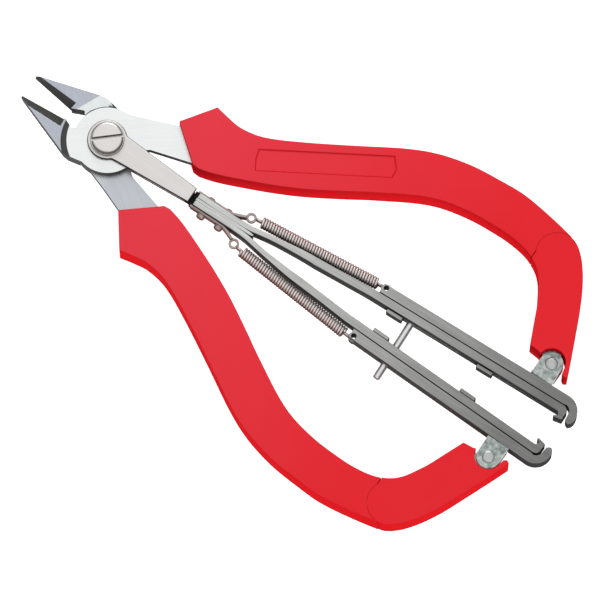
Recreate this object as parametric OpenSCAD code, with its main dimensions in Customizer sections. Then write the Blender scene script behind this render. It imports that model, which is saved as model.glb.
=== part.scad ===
// Flush cutter head and automatic wire stripper on one pair of bow handles.
// Millimetres. +X runs along the tool from the pivot to the hooks, +Y to the upper handle,
// +Z up. The origin is on the pivot axis, in the plane that the tool rests on.
// Every lower part is its upper twin turned half round about the tool's long centre line,
// except the jaws, which are both ground from above.

/* [Heights] */
// Overall thickness of the moulded grips
grip_t = 9; // [8.6:0.1:10]
// Height of the steel bars and of the two cutter plates together
bar_h = 5.2; // [4.8:0.1:5.4]
// Thickness of each yoke leaf
leaf_t = 1; // [0.8:0.05:1]

/* [Cutter head] */
// Radius of the round lap of each lever
lap_r = 7.9; // [7.6:0.05:8]
// Angle that each lever turns from open to closed
open_angle = 6.2; // [5.8:0.1:6.4]
// Radius of the pivot screw's head
screw_r = 3.75; // [3.4:0.05:4]
// Radius of the pivot shank
shank_r = 2.2; // [1.8:0.05:2.4]
// Distance from the pivot to the jaw tips
jaw_reach = 23; // [22.4:0.1:23.2]
// Angle of the closed cutting edges to the centre line
edge_lean = 2.2; // [1.5:0.1:2.5]

/* [Stripper arms] */
// Slope of the gripper and slider bars to the centre line
bar_slope = 1.75; // [1.7:0.05:1.8]
// Thickness of the gripper bars
gripper_t = 1.95; // [1.8:0.05:2]
// Thickness of the slider bars
slider_t = 2.3; // [2.1:0.05:2.4]
// Travel of the sliders
slide_travel = 12; // [11.5:0.1:12.4]
// Radius of the guide pin
guide_pin_r = 0.9; // [0.8:0.02:0.92]
// Outer radius of the return springs
spring_r = 1.46; // [1.3:0.02:1.5]

/* [Handles] */
// Outer radius of the knuckle
knuckle_r = 5.1; // [5:0.05:5.2]
// Radius of the knuckle pin
knuckle_pin_r = 1.25; // [1.1:0.05:1.3]
// Radius of the bracket ears
ear_r = 2.8; // [2.7:0.05:2.85]
// Radius of the bracket pin
bracket_pin_r = 0.9; // [0.8:0.02:0.95]

/* [Hidden] */
$fn = 48;
fit = 0.05;           // radial clearance of a running fit
mid_z = grip_t / 2;
z0 = mid_z - bar_h / 2;
z1 = mid_z + bar_h / 2;
lap_gap = 0.05;       // gap between the two lapped plates
blade_gap = 0.03;     // half the gap between the closed cutting edges
knuckle = [102.8, 35.5];
clevis = [115.8, 13.3];
bar_start = [70, 5.05];   // outer face of the gripper bar where its straight part begins
slider_gap = 0.2;
link_play = 1.15;         // how far the bracket pin can run along the link
link_dir = atan2(clevis[1] - knuckle[1], clevis[0] - knuckle[0]);
slot_h = 2 * guide_pin_r + 0.2;   // height of the guide slots in the gripper bars
front_tab_x = 76.7;
rear_tab_x = 101.4;
tab_l = 4.2;
pin_x = 83;

// Turns an upper part into its lower twin.
module twin() {
    translate([0, 0, mid_z]) rotate([180, 0, 0]) translate([0, 0, -mid_z]) children();
}

// Plate of a 2D outline between two heights.
module plate(low, high) {
    translate([0, 0, low]) linear_extrude(high - low) children();
}

// Vertical cylinder between two heights.
module post(x, y, r, low, high) {
    translate([x, y, low]) cylinder(r = r, h = high - low);
}

// Everything above the plane through three points.
module above_plane(a, b, c) {
    m = cross(b - a, c - a);
    n = m[2] > 0 ? m : -m;
    tilt = acos(n[2] / norm(n));
    turn = atan2(n[1], n[0]);
    translate(a) rotate([0, tilt, turn]) translate([-60, -60, 0]) cube([120, 120, 40]);
}

// Points on a circular arc.
function arc(cx, cy, r, from, to, steps) =
    [for (i = [0 : steps]) let (a = from + (to - from) * i / steps) [cx + r * cos(a), cy + r * sin(a)]];

// Frame of the straight bars: x along the bar, y = 0 on the gripper bar's outer face.
module along_bar() {
    translate([bar_start[0], bar_start[1], 0]) rotate([0, 0, bar_slope]) children();
}

// ---- Fixed centre ----

screw_seat = z1 + leaf_t + 0.1;

module pivot_screw() {
    head_h = 2;
    color("gainsboro") difference() {
        union() {
            post(0, 0, shank_r, 0.9, screw_seat + 0.7);
            post(0, 0, screw_r, screw_seat + 0.6, screw_seat + head_h);
            translate([0, 0, screw_seat + head_h]) cylinder(r1 = screw_r, r2 = screw_r - 0.4, h = 0.35);
        }
        rotate([0, 0, 41]) translate([-5, -0.4, screw_seat + 1.3]) cube([10, 0.8, 3]);
    }
}

module pivot_washer() {
    color("silver") difference() {
        post(0, 0, screw_r + 0.25, screw_seat, screw_seat + 0.55);
        post(0, 0, shank_r + fit, 0, 20);
    }
}

module pivot_nut() {
    color("silver") cylinder(r = 4.2, h = 0.85, $fn = 6);
}

module yoke_outline(inset) {
    difference() {
        union() {
            circle(r = 4.7 - inset);
            polygon([[1, inset - 3.5], [5, inset - 3.15], [24, inset - 1.95],
                [24, 1.95 - inset], [5, 3.15 - inset], [1, 3.5 - inset]]);
        }
        circle(r = shank_r + fit);
    }
}

module yoke_top_leaf() {
    color("gainsboro") plate(z1 + 0.05, z1 + 0.05 + leaf_t) yoke_outline(0);
}

module yoke_bottom_leaf() {
    color("gainsboro") plate(z0 - 0.05 - leaf_t + 0.15, z0 - 0.05) yoke_outline(0.8);
}

// Spacer between the leaves, drawn out into the thin tongue that the arms are riveted to.
module yoke_block() {
    color("silver") difference() {
        union() {
            plate(z0 - 0.05, z1 + 0.05)
                polygon([[9.4, -1.1], [24, -1.1], [24, 1.1], [9.4, 1.1]]);
            plate(z0 + 0.1, z1 - 0.1) polygon([[23.9, -0.35], [41, -0.2], [41, 0.2], [23.9, 0.35]]);
        }
        root_holes(0.62);
    }
}

rivet_x = [28, 32.9];

module root_holes(r) {
    for (x = rivet_x) translate([x, 10, mid_z]) rotate([90, 0, 0]) cylinder(r = r, h = 20);
}

// Rivets across the arm roots, with a round head on the lower side and a low one on the upper.
module root_rivets() {
    color("rosybrown") for (x = rivet_x) translate([x, 0, mid_z]) rotate([90, 0, 0]) {
        translate([0, 0, -2.6]) cylinder(r = 0.6, h = 5.6);
        translate([0, 0, -2.6]) cylinder(r1 = 0.7, r2 = 1.05, h = 0.4);
        translate([0, 0, 2.2]) cylinder(r = 1.05, h = 0.7);
        translate([0, 0, 2.9]) cylinder(r1 = 1.05, r2 = 0.55, h = 0.45);
    }
}

// Spring steel strip on edge, from the yoke's end to the gripper bar.
module flex_strip() {
    color("darkgray") difference() {
        plate(z0 + 0.1, z1 - 0.1) polygon([
            [24.1, 0.37], [38.5, 0.37], [45, 1.35], [52.3, 2.35], [56.3, 2.8],
            [56.3, 4.0], [52.3, 3.65], [45, 2.65], [38.5, 1.67], [24.1, 1.67]]);
        root_holes(0.62);
    }
}

// Thin strip that peels away from the arm root to an eye for the spring's hook.
module spring_anchor() {
    color("rosybrown") difference() {
        union() {
            plate(mid_z - 1.6, mid_z + 1.6) polygon([
                [24.6, 1.7], [34, 1.7], [35.6, 2.1], [37.3, 2.9],
                [37.1, 3.4], [35.2, 2.65], [33.8, 2.15], [24.6, 2.15]]);
            post(38.1, 3.7, 1.25, mid_z - 0.45, mid_z + 0.45);
        }
        post(38.1, 3.7, 0.7, 0, grip_t);
        root_holes(0.62);
    }
}

// ---- Levers ----

// Point of the jaw: the distance from the pivot along the cutting edge, and that away from it.
function edge_point(angle, along, off) =
    [off * sin(angle) - along * cos(angle), along * sin(angle) + off * cos(angle)];

// Jaw of the upper side at the open position; the cutting edge points at the pivot.
module jaw_outline(angle) {
    polygon([edge_point(angle, jaw_reach, blade_gap), edge_point(angle, jaw_reach + 0.15, 0.5),
        edge_point(angle, jaw_reach - 0.6, 0.9), [-7.2, 8.1], [-5.6, 8.3], [-2.5, 7.7], [0, 7.2],
        [0, 2], [-7, 0.9], edge_point(angle, 8.7, 1.7), edge_point(angle, 11.4, blade_gap)]);
}

// What the grinder takes off beside the cutting edge: a steep bevel above it, a relief below.
module edge_grind(angle, run) {
    edge_z = mid_z - 0.6;
    rotate([0, 0, -angle]) mirror([1, 0, 0]) translate([11.5, 0, 0]) rotate([90, 0, 90])
        linear_extrude(20) polygon([[-1, z0 - 1], [1.2, z0 - 1], [blade_gap, edge_z],
            [blade_gap + run, edge_z + 4.9], [-1, edge_z + 4.9]]);
}

// Wide facet of the jaw whose own lap lies below the other one.
module plain_jaw(angle) {
    difference() {
        plate(z0, z1) jaw_outline(angle);
        above_plane([-10.1, 2.3, z1], [-7.4, 8, z1], [-22, 3, z1 - 1.5]);
        edge_grind(angle, 2.8);
    }
}

// Wide facet that ends at a dark shoulder round the lap.
module stepped_jaw(angle) {
    difference() {
        plate(z0, z1) jaw_outline(angle);
        difference() {
            above_plane([-9.4, 0, z1 - 1.3], [-6, 8.3, z1 - 1.3], [-22, 3, z1 - 2]);
            translate([0, 0, z1 - 1.6]) cylinder(r1 = 11.2, r2 = 9.4, h = 1.8);
        }
        edge_grind(angle, 6.4);
    }
}

// Tang from the lap to the grip, and the full-height core inside the grip, forked at the knuckle.
module core_outline() {
    polygon([[19, 8.3], [30, 10.7], [40, 15.2], [52, 21.8], [64, 28.6], [74, 32.5], [84, 34.7], [94, 34.9],
        [102.8, 32.5], [102.8, 38.6], [94, 40.4], [84, 40.2], [72, 37.8], [62, 33.8], [50, 27],
        [38, 20.3], [27, 16.3], [18, 14.4]]);
}

module tang_outline() {
    polygon([[-1, 7.4], [4.5, 9.3], [11.9, 12.2], [18, 14.4], [30, 16.5], [30, 10.5], [20.1, 6.6],
        [9.6, 3.6], [5, 0]]);
}

module lever() {
    color("whitesmoke") difference() {
        union() {
            plate(mid_z + lap_gap / 2, z1) {
                circle(r = lap_r);
                tang_outline();
            }
            plate(z0, z1) core_outline();
            post(knuckle[0], knuckle[1], 3.3, z0, z1);
            difference() {
                mirror([0, 1, 0]) stepped_jaw(open_angle - edge_lean);
                post(0, 0, lap_r + 0.15, -1, mid_z + lap_gap / 2);
            }
        }
        post(0, 0, shank_r + fit, -1, 20);
        post(knuckle[0], knuckle[1], knuckle_pin_r + fit, -1, 20);
        plate(mid_z - 1.4, mid_z + 1.4) knuckle_fork_slot();
    }
}

// The same lever turned over; its jaw is ground from the same side as the other one.
module lower_lever_body() {
    color("lightgray") difference() {
        union() {
            plate(z0, mid_z - lap_gap / 2) {
                circle(r = lap_r);
                mirror([0, 1, 0]) tang_outline();
            }
            mirror([0, 1, 0]) {
                plate(z0, z1) core_outline();
                post(knuckle[0], knuckle[1], 3.3, z0, z1);
            }
            difference() {
                plain_jaw(open_angle + edge_lean);
                post(0, 0, lap_r + 0.15, mid_z - lap_gap / 2, 20);
            }
        }
        post(0, 0, shank_r + fit, -1, 20);
        mirror([0, 1, 0]) {
            post(knuckle[0], knuckle[1], knuckle_pin_r + fit, -1, 20);
            plate(mid_z - 1.4, mid_z + 1.4) knuckle_fork_slot();
        }
    }
}

// Slot in the lever's end that the link's eye swings in.
module knuckle_fork_slot() {
    translate(knuckle) {
        circle(r = 4.1);
        polygon([[0, 0], [8, 6], [8, -8], [-2, -8]]);
    }
}

// Outer edge of the grip from its front corner to the knuckle, then back along the inner edge.
module grip_outline() {
    difference() {
        polygon(concat(
            [[11.7, 12.8], [17.3, 20.6]],
            arc(24.7, 34.8, 15.3, 246, 291, 6),
            [[38.5, 24.7], [49.8, 31.2], [59.3, 36.8]],
            [[66.1, 39.9], [74.3, 42]],
            arc(87, 5.05, 38, 97, 80, 6),
            [[101.9, 41.1], [106, 39.6]],
            [[104, 30.5], [100, 30.6]],
            arc(87, -14.9, 48, 77, 110, 8),
            [[59.3, 24.1], [52.6, 20], [45.1, 15.5]],
            [[38.3, 12.2], [32.7, 10], [29.9, 8.5], [25.2, 6.8], [21.7, 5.8], [20.1, 6]]));
        translate(knuckle) {
            circle(r = knuckle_r + 0.2);
            polygon([[0, 5.2], [20, 20], [20, -20], [-4.9, -20], [-4.9, -2.2], [0, 0]]);
        }
    }
}

module core_cavity() {
    plate(z0 - fit, z1 + fit) {
        core_outline();
        translate(knuckle) circle(r = 3.3);
    }
    plate(mid_z - fit, z1 + fit) tang_outline();
}

module grip() {
    color("crimson") difference() {
        plate(0, grip_t) grip_outline();
        core_cavity();
    }
}

module knuckle_pin() {
    color("silver") post(knuckle[0], knuckle[1], knuckle_pin_r, z0 - 0.1, z1 + 0.1);
}

// ---- Links ----

// A slot along the link gives the bracket pin its free play.
module link_core() {
    color("silver") difference() {
        plate(mid_z - 1.3, mid_z + 1.3) union() {
            translate(knuckle) circle(r = 3.2);
            translate(clevis) circle(r = 2.3);
            translate(knuckle) rotate([0, 0, link_dir])
                polygon([[0, -2.5], [25, -2.2], [25, 2.2], [0, 2.5]]);
        }
        post(knuckle[0], knuckle[1], knuckle_pin_r + fit, -1, 20);
        translate([clevis[0], clevis[1], 0]) rotate([0, 0, link_dir]) {
            post(0, 0, bracket_pin_r + 0.25, -1, 20);
            post(-link_play, 0, bracket_pin_r + 0.25, -1, 20);
            translate([-link_play, -bracket_pin_r - 0.25, -1]) cube([link_play, 2 * bracket_pin_r + 0.5, 20]);
        }
    }
}

module link_cover_outline() {
    difference() {
        polygon(concat(
            arc(knuckle[0], knuckle[1], knuckle_r, 60, 207, 14),
            [[98.2, 32.3], [99.7, 31.1], [101.2, 29.7], [102.6, 27.9], [105.5, 22.8], [109.3, 14], [111, 11.7], [121.2, 11.7]],
            [[119.8, 14.9], [116.3, 23.1], [113.5, 29.3], [110.5, 34.3], [108.1, 37.4]]));
        translate(clevis) {
            circle(r = ear_r + 0.55);
            rotate([0, 0, link_dir]) translate([-link_play, 0]) circle(r = ear_r + 0.35);
            polygon([[-10, -10], [-10, 0.6], [0, 0], [2.9, 0], [3.3, -2], [4.4, -2.1], [4.4, -10]]);
        }
    }
}

module link_cover() {
    color("crimson") difference() {
        plate(0, grip_t) link_cover_outline();
        plate(mid_z - 1.3 - fit, mid_z + 1.3 + fit) translate(knuckle) rotate([0, 0, link_dir])
            polygon([[-1, -2.55], [27, -2.25], [27, 2.25], [-1, 2.55]]);
        plate(z0 - 0.15, z1 + 0.15) translate(knuckle) {
            circle(r = 3.7);
            polygon([[0, 0], for (a = [74 : 24 : 218]) 8 * [cos(a), sin(a)]]);
        }
    }
}

// ---- Gripper arms ----

module gripper_bar() {
    front = [front_tab_x - 0.5, front_tab_x + tab_l + slide_travel + 4.8];
    rear = [rear_tab_x - 0.5, rear_tab_x + tab_l + slide_travel + 0.5];
    color("darkgray") difference() {
        along_bar() plate(z0, z1) polygon(concat(
            [[0, -gripper_t], [53.1, -gripper_t], [53.7, -2.75], [52.75, -3.3], [52.95, -3.65],
                [55.1, -3.25]],
            arc(53.75, -1.35, 1.35, 0, 90, 6),
            [[0, 0], [-7, -0.4], [-13.63, -0.64], [-13.68, -2.53], [-7.07, -2.24]]));
        plate(mid_z - slot_h / 2, mid_z + slot_h / 2) {
            polygon([[front[0], 0], [front[1] - 1.3, 0], [front[1] - 1.3, 12], [front[0], 12]]);
            polygon([[rear[0], 0], [rear[1], 0], [rear[1], 12], [rear[0], 12]]);
        }
    }
}

// Closed-coil extension spring between the anchor's eye and the slider's front eye.
module return_spring() {
    from = [39.5, 4.1];
    to = [72.6, 7.15];
    dir = atan2(to[1] - from[1], to[0] - from[0]);
    span = norm(to - from);
    color("silver") translate([from[0], from[1], mid_z]) rotate([0, 0, dir]) {
        translate([1.2, 0, 0]) rotate([0, 90, 0]) difference() {
            cylinder(r = spring_r, h = span - 2.4);
            translate([0, 0, 0.6]) cylinder(r = spring_r - 0.6, h = span - 3.6);
        }
        for (end = [0.05, span - 1.6]) translate([end, -0.3, -0.9]) cube([1.45, 0.6, 1.8]);
    }
}

// ---- Sliders ----

module slider_bar(pin_hole_l) {
    y_in = slider_gap;
    y_out = slider_gap + slider_t;
    color("gray") difference() {
        union() {
            along_bar() plate(z0, z1) polygon(concat(
                [[3, y_in], [53.6, y_in]],
                arc(53.9, -1.35, 1.75, 80, 0, 6),
                [[55.75, -2.8], [56.2, -3.2], [56.75, -3.45], [57.35, -2.9]],
                arc(53.6, -1.6, 4.1, -8, 90, 8),
                [[3, y_out]]));
            post(73.9, 6.8, 1.3, mid_z - 1.2, mid_z + 1.2);
        }
        post(73.9, 6.85, 0.65, -1, 20);
        along_bar() translate([pin_x - bar_start[0], 0, mid_z]) rotate([90, 0, 0])
            guide_hole(pin_hole_l);
        along_bar() for (x = [front_tab_x, rear_tab_x])
            translate([x - bar_start[0], -1, mid_z - 0.8]) cube([tab_l, 1.9, 1.6]);
    }
}

// Round hole for the guide pin, stretched along the bar by the given length.
module guide_hole(stretch) {
    for (side = [-1, 1]) translate([side * stretch / 2, 0, -8])
        cylinder(r = guide_pin_r + (stretch > 0 ? 0.1 : 0), h = 16);
    if (stretch > 0) translate([-stretch / 2, -guide_pin_r - 0.1, -8])
        cube([stretch, 2 * guide_pin_r + 0.2, 16]);
}

// Two bent tongues per slider: each passes through the gripper bar's slot and clasps its far face.
module guide_tabs() {
    color("gray") along_bar() for (x = [front_tab_x, rear_tab_x])
        translate([x - bar_start[0], 0, mid_z]) {
            translate([0, -gripper_t - 0.5, -0.8]) cube([tab_l, gripper_t + 0.5 + 0.9, 1.6]);
            translate([0, -gripper_t - 1.05, -1.8]) cube([tab_l, 0.9, 3.6]);
        }
}

module guide_pin() {
    color("silver") along_bar() translate([pin_x - bar_start[0], slider_gap + slider_t, mid_z])
        rotate([90, 0, 0]) {
            cylinder(r = guide_pin_r, h = 19.8);
            translate([0, 0, 19.8]) cylinder(r1 = guide_pin_r, r2 = guide_pin_r - 0.25, h = 0.25);
        }
}

module clevis_bracket() {
    base_y = 9.03;
    color("gainsboro") difference() {
        union() {
            translate([clevis[0] - 2.9, base_y, z0]) cube([5.8, 0.8, bar_h]);
            for (z = [z0, z1 - 1.1]) {
                post(clevis[0], clevis[1], ear_r, z, z + 1.1);
                translate([clevis[0] - ear_r, base_y + 0.4, z])
                    cube([2 * ear_r, clevis[1] - base_y - 0.4, 1.1]);
            }
        }
        post(clevis[0], clevis[1], bracket_pin_r, -1, 20);
    }
}

module bracket_pin() {
    color("gainsboro") {
        post(clevis[0], clevis[1], bracket_pin_r, z0 - 0.1, z1 + 0.1);
        translate([clevis[0], clevis[1], z1]) cylinder(r1 = 1.85, r2 = 1.2, h = 0.6);
        translate([clevis[0], clevis[1], z0 - 0.6]) cylinder(r1 = 1.2, r2 = 1.85, h = 0.6);
    }
}

pivot_screw();
pivot_washer();
pivot_nut();
yoke_top_leaf();
yoke_bottom_leaf();
yoke_block();
root_rivets();
flex_strip();  // upper_flex_strip
twin() flex_strip();  // lower_flex_strip
spring_anchor();  // upper_spring_anchor
twin() spring_anchor();  // lower_spring_anchor
lever();  // upper_lever
lower_lever_body();  // lower_lever
grip();  // upper_grip
twin() grip();  // lower_grip
knuckle_pin();  // upper_knuckle_pin
twin() knuckle_pin();  // lower_knuckle_pin
link_core();  // upper_link_core
twin() link_core();  // lower_link_core
link_cover();  // upper_link_cover
twin() link_cover();  // lower_link_cover
gripper_bar();  // upper_gripper_bar
twin() gripper_bar();  // lower_gripper_bar
return_spring();  // upper_return_spring
twin() return_spring();  // lower_return_spring
slider_bar(0);  // upper_slider_bar
twin() slider_bar(1.2);  // lower_slider_bar
guide_tabs();  // upper_guide_tabs
twin() guide_tabs();  // lower_guide_tabs
clevis_bracket();  // upper_clevis_bracket
twin() clevis_bracket();  // lower_clevis_bracket
bracket_pin();  // upper_bracket_pin
twin() bracket_pin();  // lower_bracket_pin
guide_pin();
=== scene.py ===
"""Flush cutter with a wire stripper at its rear: the pieces that show, their finishes and the studio."""

import logging
import math
from dataclasses import dataclass, field
from enum import Enum
from typing import Callable, Iterable, Optional, Sequence

import bmesh
import bpy
from mathutils import Matrix, Vector, geometry


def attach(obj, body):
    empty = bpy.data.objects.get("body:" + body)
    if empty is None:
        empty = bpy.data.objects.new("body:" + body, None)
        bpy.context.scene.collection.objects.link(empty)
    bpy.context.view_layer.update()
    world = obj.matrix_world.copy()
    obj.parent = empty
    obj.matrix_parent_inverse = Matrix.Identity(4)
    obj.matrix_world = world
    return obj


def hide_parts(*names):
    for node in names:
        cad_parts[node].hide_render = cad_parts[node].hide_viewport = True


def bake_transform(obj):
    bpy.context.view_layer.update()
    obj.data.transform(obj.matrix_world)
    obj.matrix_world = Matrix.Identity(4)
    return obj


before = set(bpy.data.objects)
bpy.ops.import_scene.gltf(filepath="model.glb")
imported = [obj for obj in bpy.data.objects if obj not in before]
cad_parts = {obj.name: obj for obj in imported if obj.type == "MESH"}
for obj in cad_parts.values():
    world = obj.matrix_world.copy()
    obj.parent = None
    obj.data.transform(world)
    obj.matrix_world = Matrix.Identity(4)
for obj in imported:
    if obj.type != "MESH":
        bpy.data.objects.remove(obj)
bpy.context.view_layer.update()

LOG = logging.getLogger("flush_cutter")
MM = 0.001
MID = 4.5  # height of the tool's centre plane, mm
BAR_LOW, BAR_HIGH = 1.9, 7.1  # height of the steel bars, mm
GRIP_HIGH = 2 * MID  # height of the moulded pieces' upper face, mm

Colour = tuple[float, float, float]
Point = tuple[float, float]
Nodes = bpy.types.NodeTree

KNUCKLE: Point = (102.8, 35.5)  # axis between the upper handle and its link, mm
CLEVIS: Point = (115.8, 13.3)  # axis of the upper bracket's pin, mm


class Side(Enum):
    """The two mirrored halves of the tool."""

    UPPER = "upper"
    LOWER = "lower"

    def part(self, name: str) -> str:
        """Name of this side's piece or body."""
        return f"{self.value}_{name}"

    @property
    def sign(self) -> float:
        """1 above the centre line and -1 below it."""
        return 1.0 if self is Side.UPPER else -1.0


class Slot(Enum):
    """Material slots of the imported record."""

    GRIP = "grip_red"
    HEAD = "head_steel"
    YOKE = "yoke_steel"
    SCREW = "screw_steel"
    STRIP = "strip_steel"
    ARM = "arm_steel"
    BRACKET = "bracket_zinc"
    SPRING = "spring_wire"
    ANCHOR = "anchor_steel"


# ---------------------------------------------------------------- finishes


class Wiring:
    """Short calls for one node tree."""

    def __init__(self, tree: Nodes) -> None:
        """Keeps the tree that the calls write to."""
        self.tree = tree

    def feed(self, node: bpy.types.Node, values: dict) -> None:
        """Sets a node's inputs, by name or number, to constants or links them to sockets."""
        for key, value in values.items():
            if isinstance(value, bpy.types.NodeSocket):
                self.tree.links.new(value, node.inputs[key])
            else:
                node.inputs[key].default_value = value

    def node(self, kind: str, values: Optional[dict] = None, **settings: object) -> bpy.types.Node:
        """Adds a node.

        Args:
            kind: the node's type, without its ShaderNode prefix.
            values: socket name or number to a constant, or to a socket that feeds it.
            settings: the node's own properties.

        Returns:
            The new node.
        """
        node = self.tree.nodes.new("ShaderNode" + kind)
        for key, value in settings.items():
            setattr(node, key, value)
        self.feed(node, values or {})
        return node

    def group(self, tree: Nodes, values: dict) -> bpy.types.Node:
        """Places a node group and sets its inputs."""
        node = self.tree.nodes.new("ShaderNodeGroup")
        node.node_tree = tree
        self.feed(node, values)
        return node

    def mix(self, factor: object, low: object, high: object, blend: str = "MIX") -> bpy.types.NodeSocket:
        """Blends two colours.

        Args:
            factor: the share of the second colour, a number or a socket.
            low: first colour or socket.
            high: second colour or socket.
            blend: how they are blended.

        Returns:
            The blended colour's socket.
        """
        node = self.node("Mix", data_type="RGBA", blend_type=blend)
        opaque = [(*value, 1) if isinstance(value, tuple) else value for value in (low, high)]
        self.feed(node, {0: factor, 6: opaque[0], 7: opaque[1]})
        return node.outputs[2]

    def spread(self, value: bpy.types.NodeSocket, low: float, high: float,
               start: float = 0.0, stop: float = 1.0) -> bpy.types.NodeSocket:
        """Maps a value from the range start..stop to the range low..high."""
        node = self.node("MapRange", {"Value": value, "From Min": start, "From Max": stop,
                                      "To Min": low, "To Max": high})
        return node.outputs["Result"]


class Effects:
    """Node groups that several finishes share, each built once."""

    _built: dict[str, Nodes] = {}

    @classmethod
    def _tree(cls, name: str, inputs: dict[str, tuple[str, object]], outputs: Sequence[str],
              fill: Callable[[Wiring, bpy.types.Node, bpy.types.Node], None]) -> Nodes:
        """Builds a group the first time it is asked for.

        Args:
            name: the group's name.
            inputs: input name to its socket type and default.
            outputs: names of the value outputs.
            fill: draws the nodes between the group's input and output.

        Returns:
            The group's node tree.
        """
        if name not in cls._built:
            tree = bpy.data.node_groups.new(name, "ShaderNodeTree")
            for key, (kind, default) in inputs.items():
                socket = tree.interface.new_socket(key, in_out="INPUT", socket_type=kind)
                if default is not None:
                    socket.default_value = default
            for key in outputs:
                tree.interface.new_socket(key, in_out="OUTPUT", socket_type="NodeSocketFloat")
            fill(Wiring(tree), tree.nodes.new("NodeGroupInput"), tree.nodes.new("NodeGroupOutput"))
            cls._built[name] = tree
        return cls._built[name]

    @classmethod
    def flank_shading(cls) -> Nodes:
        """Masks of slope that place painted shade and painted highlights: Level, 1 on level faces, Flat, 1 on
        dead level ones, Under, 1 on lower edges.
        """

        def fill(wiring: Wiring, start: bpy.types.Node, end: bpy.types.Node) -> None:
            """Draws the mask from the face's own direction."""
            geometry_info = wiring.node("NewGeometry")
            rise = wiring.node("SeparateXYZ", {0: geometry_info.outputs["Normal"]}).outputs["Z"]
            size = wiring.node("Math", {0: rise}, operation="ABSOLUTE").outputs[0]
            turn = wiring.node("MapRange", {"Value": size, "From Min": start.outputs["Low"],
                                            "From Max": start.outputs["High"]},
                               interpolation_type="SMOOTHSTEP")
            true = wiring.node("SeparateXYZ", {0: geometry_info.outputs["True Normal"]}).outputs["Z"]
            true = wiring.node("Math", {0: true}, operation="ABSOLUTE").outputs[0]
            wiring.tree.links.new(turn.outputs["Result"], end.inputs["Level"])
            wiring.tree.links.new(wiring.spread(true, 0, 1, 0.9985, 0.9998), end.inputs["Flat"])
            wiring.tree.links.new(wiring.spread(rise, 0, 1, -0.1, -0.5), end.inputs["Under"])

        return cls._tree("flank_mask", {"Low": ("NodeSocketFloat", 0.7), "High": ("NodeSocketFloat", 0.98)},
                         ("Level", "Flat", "Under"), fill)

    @classmethod
    def brushing(cls) -> Nodes:
        """Long fine grinding lines along X of the Vector, with a slower cloudiness over them."""

        def fill(wiring: Wiring, start: bpy.types.Node, end: bpy.types.Node) -> None:
            """Draws stretched noise at two sizes."""
            stretched = wiring.node("VectorMath", {0: start.outputs["Vector"], 1: start.outputs["Stretch"]},
                                    operation="MULTIPLY").outputs[0]
            lines = wiring.node("TexNoise", {"Vector": stretched, "Scale": 1.0, "Detail": 4.0,
                                             "Roughness": 0.62}).outputs[0]
            cloud = wiring.node("TexNoise", {"Vector": start.outputs["Vector"], "Scale": 160.0,
                                             "Detail": 3.0}).outputs[0]
            wiring.tree.links.new(wiring.spread(lines, 0, 1, 0.3, 0.7), end.inputs["Lines"])
            wiring.tree.links.new(wiring.spread(cloud, 0, 1, 0.3, 0.7), end.inputs["Cloud"])

        return cls._tree("brushing", {"Vector": ("NodeSocketVector", None),
                                      "Stretch": ("NodeSocketVector", (90.0, 2600.0, 2600.0))},
                         ("Lines", "Cloud"), fill)

    @classmethod
    def speckle(cls) -> Nodes:
        """Small irregular patches, as on zinc plating or a fine moulded texture."""

        def fill(wiring: Wiring, start: bpy.types.Node, end: bpy.types.Node) -> None:
            """Draws cells broken up with noise."""
            vector = start.outputs["Vector"]
            cells = wiring.node("TexVoronoi", {"Vector": vector, "Scale": start.outputs["Scale"]},
                                feature="SMOOTH_F1").outputs["Distance"]
            noise = wiring.node("TexNoise", {"Vector": vector, "Scale": start.outputs["Scale"],
                                             "Detail": 5.0, "Roughness": 0.6}).outputs[0]
            both = wiring.node("Math", {0: cells, 1: noise}, operation="MULTIPLY_ADD")
            wiring.tree.links.new(noise, both.inputs[2])
            wiring.tree.links.new(wiring.spread(both.outputs[0], 0, 1, 0.45, 0.95), end.inputs["Patches"])
            wiring.tree.links.new(wiring.spread(noise, 0, 1, 0.35, 0.65), end.inputs["Fine"])

        return cls._tree("speckle", {"Vector": ("NodeSocketVector", None),
                                     "Scale": ("NodeSocketFloat", 900.0)},
                         ("Patches", "Fine"), fill)


def _begin(name: str) -> tuple[bpy.types.Material, Wiring, bpy.types.NodeSocket, bpy.types.Node]:
    """Starts a material.

    Args:
        name: the material's name.

    Returns:
        The material, its wiring, the Object coordinates and the shader.
    """
    material = bpy.data.materials.new(name)
    material.use_nodes = True
    material.node_tree.nodes.clear()
    wiring = Wiring(material.node_tree)
    shader = wiring.node("BsdfPrincipled")
    output = wiring.node("OutputMaterial")
    wiring.tree.links.new(shader.outputs[0], output.inputs["Surface"])
    return material, wiring, wiring.node("TexCoord").outputs["Object"], shader


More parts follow.
